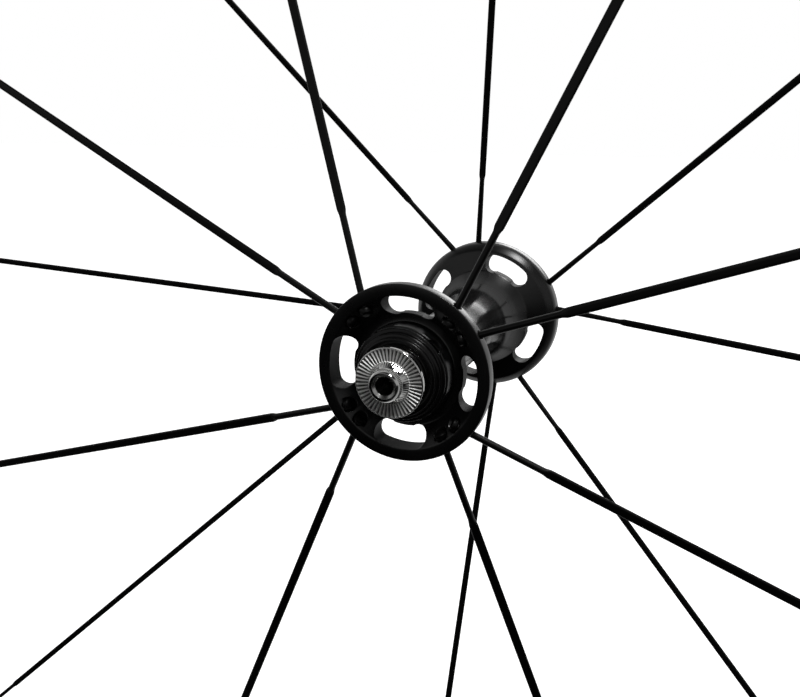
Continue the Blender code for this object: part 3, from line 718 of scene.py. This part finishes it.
def sleeve_outline():
    """A sleeve with a running groove for the dust cap's lip."""
    low, outer = BEARING_OUTER + BEARING_FIT, 8.5
    return [
        (outer, AXLE_SHOULDER, 0.3), (outer, 44.6, 0.1), (outer - 0.4, 44.2, 0.1), (outer - 0.4, 43.0, 0.1),
        (outer, 42.6, 0.1), (outer, low, 0.3), (INNER_BORE, low, 0.2), (INNER_BORE, AXLE_SHOULDER, 0.2),
    ]


for side_name, side in SIDES.items():
    sleeve = turned_object("grooved_sleeve_" + side_name, sleeve_outline(), AXLE_STEPS, side)
    finish_piece(sleeve, "axle_set", "axle_spacer_" + side_name, "axle_alloy", axle_silver)
print("axle faces:", len(hollow_axle.data.polygons))

# %% [markdown]
# ## Bearings
# A cartridge bearing is an inner ring, an outer ring, a cage with its balls, and two seals. The rings have
# a groove that the balls run in. The balls and their cage go round together, so they are one piece.

# %% Turn the bearing rings and seals
RACE_STEPS = 96
GROOVE_DEPTH = 0.35


def race_outline(plain, grooved):
    """A ring whose grooved side has a shallow rounded track for the balls."""
    middle = (BEARING_INNER + BEARING_OUTER) / 2
    deep = grooved + math.copysign(GROOVE_DEPTH, plain - grooved)
    return [
        (plain, BEARING_OUTER, 0.3), (plain, BEARING_INNER, 0.3), (grooved, BEARING_INNER, 0.1),
        (grooved, middle - 1.0, 0.1), (deep, middle - 0.5, 0.4), (deep, middle + 0.5, 0.4),
        (grooved, middle + 1.0, 0.1), (grooved, BEARING_OUTER, 0.1),
    ]


def seal_outline(outer_face, direction):
    """A moulded seal with one pressed rib, seen from outside the bearing."""
    back = outer_face - direction * 0.6
    return [
        (10.2, outer_face, 0.1), (9.6, outer_face, 0.1), (9.4, outer_face - direction * 0.2, 0.1),
        (8.6, outer_face - direction * 0.2, 0.1), (8.4, outer_face, 0.1), (7.8, outer_face, 0.1),
        (7.8, back, 0.1), (10.2, back, 0.1),
    ]


SEAL_PLACES = {"inboard": (BEARING_INNER, -1), "outboard": (BEARING_OUTER, 1)}
for side_name, side in SIDES.items():
    inner = turned_object("grooved_inner_ring_" + side_name, race_outline(INNER_BORE, 7.5), RACE_STEPS, side)
    finish_piece(inner, "axle_set", "inner_race_" + side_name, "bearing_steel", bearing_steel)
    outer = turned_object("grooved_outer_ring_" + side_name, race_outline(BEARING_RADIUS, 10.5),
                          RACE_STEPS, side)
    finish_piece(outer, "wheel", "outer_race_" + side_name, "bearing_steel", bearing_steel)
    for place, (face, direction) in SEAL_PLACES.items():
        seal = turned_object("moulded_seal_%s_%s" % (side_name, place), seal_outline(face, direction),
                             RACE_STEPS, side)
        finish_piece(seal, "wheel", "bearing_seal_%s_%s" % (side_name, place), "seal_rubber", seal_rubber)
print("bearing rings and seals done")

# %% Make the balls and their cage
BALL_SEGMENTS, BALL_RINGS = 20, 12
CAGE_HALF_WIDTH, CAGE_WALL = 0.5, 0.5


def ball_set_shape(side):
    """A cage ring with a ball in the middle of each pocket."""
    middle = side * (BEARING_INNER + BEARING_OUTER) / 2
    low, high = sorted((middle - CAGE_HALF_WIDTH, middle + CAGE_HALF_WIDTH))
    shape = turned_shape(ring(BALL_PITCH_RADIUS - CAGE_WALL, BALL_PITCH_RADIUS + CAGE_WALL, low, high, 0.15),
                         RACE_STEPS)
    for index in range(BALL_COUNT):
        centre = wheel_point(BALL_PITCH_RADIUS, 2 * math.pi * index / BALL_COUNT, middle)
        bmesh.ops.create_uvsphere(shape, u_segments=BALL_SEGMENTS, v_segments=BALL_RINGS,
                                  radius=BALL_RADIUS * MM, matrix=Matrix.Translation(centre))
    return shape


for side_name, side in SIDES.items():
    balls = mesh_object("caged_balls_" + side_name, ball_set_shape(side))
    finish_piece(balls, "ball_set_" + side_name, "ball_set_" + side_name, "bearing_steel", ball_steel)
    print(balls.name, "faces:", len(balls.data.polygons))

# %% [markdown]
# ## Dust caps
# A cap closes each bearing against dirt. It has a thin lip where it meets the housing and two steps before
# its nose, so the light breaks into narrow bands on it.

# %% Turn the dust caps
def dust_cap_outline():
    """Nose, two steps, lip and plug."""
    lip = 41.8
    return [
        (8.8, 45.0, 0.15), (11.0, 45.0, 0.4), (11.2, 44.0, 0.1), (12.1, 43.8, 0.35), (12.3, lip + 0.8, 0.1),
        (13.2, lip + 0.7, 0.3), (13.2, lip, 0.1), (BEARING_RADIUS, lip, 0.1),
        (BEARING_RADIUS, BEARING_OUTER + BEARING_FIT, 0.2), (8.8, BEARING_OUTER + BEARING_FIT, 0.1),
    ]


for side_name, side in SIDES.items():
    cap = turned_object("coned_dust_cap_" + side_name, dust_cap_outline(), HUB_STEPS, side)
    finish_piece(cap, "wheel", "dust_cap_" + side_name, "black_anodised", dust_cap_black)
    print(cap.name, "faces:", len(cap.data.polygons))

# %% [markdown]
# ## Spokes
# A bladed spoke starts as round wire. Its head is upset into a button, and past a round neck the wire is
# rolled flat, which makes it wider than it was. The blade's broad side lies in the wheel's plane. The
# wire is a circle that is extruded from station to station and scaled at each one; where it is rolled, its
# thickness is pressed flat, which leaves two flat faces with rounded edges. The wire of the right flange's
# spokes is drawn a little thinner than the left's.

# %% Stations along a spoke
WIRE_RADIUS, HEAD_RADIUS, HEAD_LENGTH = 1.0, 1.75, 1.8
BLADE_HALF_WIDTH, BLADE_HALF_THICKNESS = 1.4, 0.475
SIDE_WIDTHS = {"left": 1.0, "right": 0.8}
BLADE_START, BLADE_RUN_IN, BLADE_END = 21.0, 2.2, 246.0
SPOKE_TIP_RADIUS = 297.0
SPOKE_SEGMENTS = 20
BLADE_SPANS = 12


def spoke_stations(tip):
    """Distance from the flange edge, half width and half thickness, from the head to the tip."""
    seat = -SPOKE_SEAT - 0.3
    head = seat - HEAD_LENGTH
    stations = [
        (head, 0.8, 0.8), (head + 0.15, 1.35, 1.35), (head + 0.5, HEAD_RADIUS, HEAD_RADIUS),
        (seat - 0.35, HEAD_RADIUS, HEAD_RADIUS), (seat - 0.1, 1.6, 1.6), (seat, 1.3, 1.3),
        (seat + 0.15, WIRE_RADIUS, WIRE_RADIUS), (BLADE_START, WIRE_RADIUS, WIRE_RADIUS),
    ]
    run_in = [(0.25, 0.12), (0.5, 0.5), (0.75, 0.88), (1.0, 1.0)]
    for share, formed in run_in:
        stations.append((BLADE_START + share * BLADE_RUN_IN, *rolled(formed)))
    for span in range(1, BLADE_SPANS + 1):
        at = BLADE_START + BLADE_RUN_IN + (BLADE_END - BLADE_START - BLADE_RUN_IN) * span / BLADE_SPANS
        stations.append((at, BLADE_HALF_WIDTH, BLADE_HALF_THICKNESS))
    for share, formed in run_in:
        stations.append((BLADE_END + share * BLADE_RUN_IN, *rolled(1.0 - formed)))
    return stations + [(tip - 0.3, WIRE_RADIUS, WIRE_RADIUS), (tip, 0.75, 0.75)]


def rolled(formed):
    """Half width and half thickness of wire that is part of the way to a blade."""
    return (WIRE_RADIUS + formed * (BLADE_HALF_WIDTH - WIRE_RADIUS),
            WIRE_RADIUS + formed * (BLADE_HALF_THICKNESS - WIRE_RADIUS))


# %% Extrude the wire and press its blade
ROLL_BULGE = 1.35


def spoke_place(exit_point, direction):
    """Local Z runs along the spoke and local X across its blade, in the wheel's plane."""
    across = direction.cross(Vector((0.0, 1.0, 0.0))).normalized()
    axes = Matrix((across, direction.cross(across), direction)).transposed().to_4x4()
    return Matrix.Translation(exit_point) @ axes


def extrude_stations(stations, segments):
    """A closed round bar along Z whose section is scaled at each station and pressed where it is thin."""
    shape = bmesh.new()
    at, width, thickness = stations[0]
    ring_verts = bmesh.ops.create_circle(shape, cap_ends=True, segments=segments, radius=MM)["verts"]
    bmesh.ops.translate(shape, verts=ring_verts, vec=(0.0, 0.0, at * MM))
    bmesh.ops.scale(shape, verts=ring_verts, vec=(width, thickness, 1.0))
    top = shape.faces[:][0]
    for number, (next_at, next_width, next_thickness) in enumerate(stations[1:]):
        pushed = bmesh.ops.extrude_face_region(shape, geom=[top])["geom"]
        if number:
            bmesh.ops.delete(shape, geom=[top], context="FACES_ONLY")
        ring_verts = [item for item in pushed if isinstance(item, bmesh.types.BMVert)]
        top = [item for item in pushed if isinstance(item, bmesh.types.BMFace)][0]
        bmesh.ops.translate(shape, verts=ring_verts, vec=(0.0, 0.0, (next_at - at) * MM))
        bmesh.ops.scale(shape, verts=ring_verts, vec=(next_width / width, next_thickness / thickness, 1.0))
        at, width, thickness = next_at, next_width, next_thickness
    return shape


def press_blade(shape):
    """Square up the pressed stretch, so that it has two flat faces and rounded edges."""
    for vertex in shape.verts:
        at = vertex.co.z / MM
        if not BLADE_START < at < BLADE_END + BLADE_RUN_IN:
            continue
        formed = min(1.0, (at - BLADE_START) / BLADE_RUN_IN, (BLADE_END + BLADE_RUN_IN - at) / BLADE_RUN_IN)
        limit = rolled(formed)[1] * MM
        bulge = 1.0 + formed * (ROLL_BULGE - 1.0)
        vertex.co.y = max(-limit, min(limit, vertex.co.y * bulge))


def narrow_wire(shape, share):
    """Draw the wire beyond its head down to a share of its width."""
    for vertex in shape.verts:
        if vertex.co.z / MM > -SPOKE_SEAT:
            vertex.co.x *= share
            vertex.co.y *= share


def map_round_and_along(shape):
    """Write a UV map: U goes round the wire and back, and V runs along it in centimetres."""
    layer = shape.loops.layers.uv.new("UVMap")
    for face in shape.faces:
        for loop in face.loops:
            angle = math.atan2(loop.vert.co.y, loop.vert.co.x) / (2 * math.pi)
            loop[layer].uv = (abs(angle) * 2, loop.vert.co.z * 100)


SPOKE_MESH_TIP = along_spoke(*spoke_lines("left")[0][1:3], SPOKE_TIP_RADIUS)
for side_name in SIDES:
    for number, exit_point, direction, _ in spoke_lines(side_name):
        spoke_shape = extrude_stations(spoke_stations(SPOKE_MESH_TIP), SPOKE_SEGMENTS)
        press_blade(spoke_shape)
        narrow_wire(spoke_shape, SIDE_WIDTHS[side_name])
        map_round_and_along(spoke_shape)
        bmesh.ops.recalc_face_normals(spoke_shape, faces=spoke_shape.faces[:])
        bmesh.ops.transform(spoke_shape, verts=spoke_shape.verts[:],
                            matrix=spoke_place(exit_point, direction))
        spoke = mesh_object("bladed_spoke_%s_%d" % (side_name, number), spoke_shape)
        finish_piece(spoke, "wheel", "spoke_%s_%d" % (side_name, number), "black_spoke", spoke_black)
print("spoke length in mm:", round(SPOKE_MESH_TIP + SPOKE_SEAT, 1))

# %% [markdown]
# ## Nipples
# A nipple is a long nut with a round head inside the rim. Its shank has four flats for a spoke key, and its
# head has a slot for a screwdriver. One is turned about its own axis, its flats and slot are made there,
# and then it is copied to each spoke.

# %% Make one nipple and place its copies
NIPPLE_RADIUS, NIPPLE_HEAD_RADIUS, NIPPLE_BORE = 2.0, 2.8, 1.3
NIPPLE_FLAT = 1.65
NIPPLE_STEPS = 32
SLOT_SIZE = (8.0, 0.8, 2.0)
NIPPLE_RADII = {"start": 281.5, "shoulder": 296.2, "end": 298.6}


def nipple_shape(start, shoulder, end):
    """A hollow nipple along Z with wrench flats on its shank."""
    shape = bmesh.new()
    flats_end = start + 6.5
    outline(shape, [
        (NIPPLE_RADIUS, start, 0.25), (NIPPLE_RADIUS, flats_end, 0.0), (NIPPLE_RADIUS, flats_end + 0.3, 0.0),
        (NIPPLE_RADIUS, shoulder, 0.2), (NIPPLE_HEAD_RADIUS, shoulder + 0.5, 0.4),
        (NIPPLE_HEAD_RADIUS, end - 0.6, 0.5), (2.2, end, 0.3), (NIPPLE_BORE, end, 0.1),
        (NIPPLE_BORE, start, 0.1),
    ])
    turn(shape, NIPPLE_STEPS)
    for vertex in shape.verts:
        if vertex.co.y < (flats_end + TOUCH) * MM:
            for axis in (0, 2):
                vertex.co[axis] = max(-NIPPLE_FLAT * MM, min(NIPPLE_FLAT * MM, vertex.co[axis]))
    bmesh.ops.rotate(shape, verts=shape.verts[:], cent=(0.0, 0.0, 0.0),
                     matrix=Matrix.Rotation(math.pi / 2, 3, "X"))
    return shape


def slotted_nipple():
    """The mesh of one nipple, cut across its head for a screwdriver."""
    _, exit_point, direction, _ = spoke_lines("left")[0]
    start, shoulder, end = (along_spoke(exit_point, direction, radius) for radius in NIPPLE_RADII.values())
    blank = mesh_object("nipple_blank", nipple_shape(start, shoulder, end))
    saw = bmesh.new()
    bmesh.ops.create_cube(saw, size=MM, matrix=Matrix.Translation((0.0, 0.0, end * MM))
                          @ Matrix.Diagonal((*SLOT_SIZE, 1.0)))
    cut_away(blank, mesh_object("saw", saw))
    mesh = blank.data
    bpy.data.objects.remove(blank, do_unlink=True)
    return mesh


nipple_mesh = slotted_nipple()
for side_name in SIDES:
    for number, exit_point, direction, _ in spoke_lines(side_name):
        copy = bmesh.new()
        copy.from_mesh(nipple_mesh)
        bmesh.ops.transform(copy, verts=copy.verts[:], matrix=spoke_place(exit_point, direction))
        nipple = mesh_object("slotted_nipple_%s_%d" % (side_name, number), copy)
        finish_piece(nipple, "wheel", "nipple_%s_%d" % (side_name, number), "nipple_alloy", nipple_black)
print("nipple faces:", len(nipple_mesh.polygons))
bpy.data.meshes.remove(nipple_mesh)

# %% [markdown]
# ## Rim and rim tape
# The rim is one hollow section rolled into a hoop: a box that carries the load, hooked walls that hold the
# tyre, and a machined track for the brake. The outside and the hollow are two outlines. The hollow's faces
# are turned to look into it, and then the nipple, access and valve holes are drilled.

# %% Roll and drill the rim
RIM_STEPS = 240
RIM_HALF_WIDTH = 10.0
TRACK_LOW, TRACK_HIGH, TRACK_DEPTH, TRACK_SLOPE = 305.2, 315.4, 9.8, 0.99
NIPPLE_HOLE, ACCESS_HOLE, VALVE_HOLE = 2.5, 4.0, 3.3


def rim_outline():
    """Tyre bed with its well, hooks, brake tracks and the tapering box below them."""
    return both_halves([
        (TYRE_BED_RADIUS, 4.6, 0.5), (309.2, 8.3, 0.8), (314.2, 8.5, 0.5), (315.6, 7.6, 0.5),
        (RIM_RADIUS, 8.4, 0.5), (316.2, RIM_HALF_WIDTH, 0.3), (TRACK_HIGH, RIM_HALF_WIDTH, 0.05),
        (TRACK_HIGH - 0.1, RIM_HALF_WIDTH - 0.15, 0.05), (TRACK_LOW + 0.1, RIM_HALF_WIDTH - 0.15, 0.05),
        (TRACK_LOW, RIM_HALF_WIDTH, 0.05), (304.5, RIM_HALF_WIDTH, 0.8), (298.6, 7.9, 2.5), (294.3, 5.3, 1.2),
        (RIM_TIP_RADIUS, 3.4, 1.2),
    ])


def hollow_outline():
    """The closed channel inside the rim."""
    return both_halves([(TYRE_BED_RADIUS - TYRE_BED_WALL, 5.4, 0.6), (303.0, 7.6, 0.8), (299.2, 6.2, 1.0),
                        (SPOKE_BED_RADIUS, 3.7, 0.8)])


def rim_shape():
    """The rim's outer skin with the hollow's skin turned the other way."""
    shape = turned_shape(rim_outline(), RIM_STEPS)
    outer_faces = set(shape.faces)
    inner = turned_shape(hollow_outline(), RIM_STEPS)
    bmesh.ops.reverse_faces(inner, faces=inner.faces[:])
    mesh = bpy.data.meshes.new("hollow")
    inner.to_mesh(mesh)
    inner.free()
    shape.from_mesh(mesh)
    bpy.data.meshes.remove(mesh)
    print("rim skins:", len(outer_faces), len(shape.faces) - len(outer_faces))
    return shape


def rim_drills():
    """Holes for the nipples, for reaching them from the tyre bed, and for the valve."""
    drills = bmesh.new()
    for side_name in SIDES:
        for _, exit_point, direction, rim_angle in spoke_lines(side_name):
            low, high = (exit_point + direction * along_spoke(exit_point, direction, radius) * MM
                         for radius in (RIM_TIP_RADIUS - CUT_MARGIN, SPOKE_BED_RADIUS + CUT_MARGIN))
            add_cylinder(drills, low, high, NIPPLE_HOLE, HOLE_SEGMENTS)
            low = wheel_point(TYRE_BED_RADIUS - TYRE_BED_WALL - CUT_MARGIN, rim_angle, 0.0)
            high = wheel_point(TYRE_BED_RADIUS + CUT_MARGIN, rim_angle, 0.0)
            add_cylinder(drills, low, high, ACCESS_HOLE, HOLE_SEGMENTS)
    add_cylinder(drills, *valve_line(), VALVE_HOLE, HOLE_SEGMENTS)
    return mesh_object("rim_drills", drills)


def valve_line():
    """From below the rim to above the tyre bed at the valve's angle."""
    low = wheel_point(RIM_TIP_RADIUS - CUT_MARGIN, VALVE_ANGLE, 0.0)
    return low, wheel_point(RIM_RADIUS, VALVE_ANGLE, 0.0)


def paint_brake_tracks(obj):
    """Give the machined tracks the second material."""
    for face in obj.data.polygons:
        radius = math.hypot(face.center.x, face.center.z) / MM
        outside = abs(face.normal.y) > TRACK_SLOPE and abs(face.center.y) > TRACK_DEPTH * MM
        if outside and TRACK_LOW < radius < TRACK_HIGH:
            face.material_index = 1


rim = mesh_object("drilled_rim", rim_shape())
cut_away(rim, rim_drills())
finish_piece(rim, "wheel", "rim", "rim_black", rim_black, brake_track)
paint_brake_tracks(rim)
print("rim faces:", len(rim.data.polygons))

# %% Wrap the rim tape
tape_shape = turned_shape(ring(TYRE_BED_RADIUS + 0.3, TYRE_BED_RADIUS + 1.0, -4.2, 4.2, 0.2), RIM_STEPS)
tape = mesh_object("wrapped_rim_tape", tape_shape)
tape_drill = bmesh.new()
add_cylinder(tape_drill, *valve_line(), VALVE_HOLE, HOLE_SEGMENTS)
cut_away(tape, mesh_object("tape_drill", tape_drill))
finish_piece(tape, "wheel", "rim_tape", "tape_plastic", tape_red)
print("tape faces:", len(tape.data.polygons))

# %% [markdown]
# ## Studio
# The wheel stands on a pale floor in front of a bright white wall. The room in front of it is dark, so the
# black hub mirrors very little there, and the white wall behind it draws a pale line along each edge that
# is seen at a low angle. A small softbox high on the right makes the silver teeth sparkle, and a large one
# behind the wheel lies as a bright patch on the barrel.

# %% Floor and wall
FLOOR_GAP = 0.0005
FLOOR_SIZE = 12.0


def make_floor():
    """A pale floor just under the rim, which neither lights the wheel nor shows in its polish."""
    shape = bmesh.new()
    bmesh.ops.create_grid(shape, x_segments=1, y_segments=1, size=FLOOR_SIZE / 2,
                          matrix=Matrix.Translation((0.0, 0.0, cad_low.z - FLOOR_GAP)))
    floor = mesh_object("studio_floor", shape)
    material = bpy.data.materials.new("studio_floor_white")
    material.use_nodes = True
    shader = material.node_tree.nodes["Principled BSDF"]
    shader.inputs["Base Color"].default_value = (0.9, 0.9, 0.9, 1.0)
    shader.inputs["Roughness"].default_value = 0.8
    shader.inputs["Emission Color"].default_value = (1.0, 1.0, 1.0, 1.0)
    shader.inputs["Emission Strength"].default_value = 0.75
    floor.data.materials.append(material)
    floor.visible_glossy = False
    floor.visible_diffuse = False


BACK_LEVEL, FRONT_LEVEL, DARK_LEVEL = 0.75, 0.4, 0.006


def make_world():
    """White where it is seen directly. Mirrored, it is a pale wall behind and a dim band low in front."""
    world = bpy.data.worlds.new("studio")
    world.use_nodes = True
    tree = world.node_tree
    background = tree.nodes["Background"]
    _, y, z = split(tree, tree.nodes.new("ShaderNodeTexCoord").outputs["Generated"])
    wall = range_node(tree, y, -0.15, 0.2, 0.0, BACK_LEVEL, smooth=True)
    band_bottom = range_node(tree, z, -0.05, 0.1, DARK_LEVEL, FRONT_LEVEL, smooth=True)
    band_top = range_node(tree, z, 0.45, 0.7, FRONT_LEVEL, DARK_LEVEL, smooth=True)
    band = math_node(tree, "MINIMUM", band_bottom, band_top)
    seen = tree.nodes.new("ShaderNodeLightPath")
    light = math_node(tree, "MAXIMUM", wall, band)
    strength = math_node(tree, "MAXIMUM", light, seen.outputs["Is Camera Ray"])
    tree.links.new(strength, background.inputs["Strength"])
    background.inputs["Color"].default_value = (1.0, 1.0, 1.0, 1.0)
    bpy.context.scene.world = world


make_floor()
make_world()

# %% Softboxes
def add_softbox(name, direction, distance, width, height, radiance):
    """An area light of a given brightness that looks at the hub from a direction. White is 1."""
    light = bpy.data.lights.new(name, "AREA")
    light.shape = "RECTANGLE"
    light.size = width
    light.size_y = height
    light.energy = radiance * math.pi * width * height
    obj = bpy.data.objects.new(name, light)
    obj.location = Vector(direction).normalized() * distance
    obj.rotation_euler = Vector(direction).to_track_quat("Z", "Y").to_euler()
    obj.visible_camera = False
    bpy.context.scene.collection.objects.link(obj)


add_softbox("key_softbox", (0.33, -0.31, 0.89), 1.0, 0.17, 0.17, 52.0)
add_softbox("rear_softbox", (0.08, 0.93, 0.36), 1.5, 0.8, 0.5, 3.8)
print("lights:", len(bpy.data.lights))

# %% [markdown]
# The camera stands to the right of the hub and a little above it, close in, so that the hub fills the
# middle and the rim is outside the view.

# %% Camera
CAMERA_LENS, CAMERA_SENSOR = 42.101, 36.0
CAMERA_PLACE = Vector((90.81, -267.67, 73.32))
CAMERA_TILT, CAMERA_TURN = math.radians(74.868), math.radians(21.912)

camera_data = bpy.data.cameras.new("camera")
camera_data.lens = CAMERA_LENS
camera_data.sensor_width = CAMERA_SENSOR
camera = bpy.data.objects.new("camera", camera_data)
camera.location = CAMERA_PLACE * MM
camera.rotation_euler = (CAMERA_TILT, 0.0, CAMERA_TURN)
bpy.context.scene.collection.objects.link(camera)
bpy.context.scene.camera = camera
bpy.context.scene.view_settings.view_transform = "Standard"
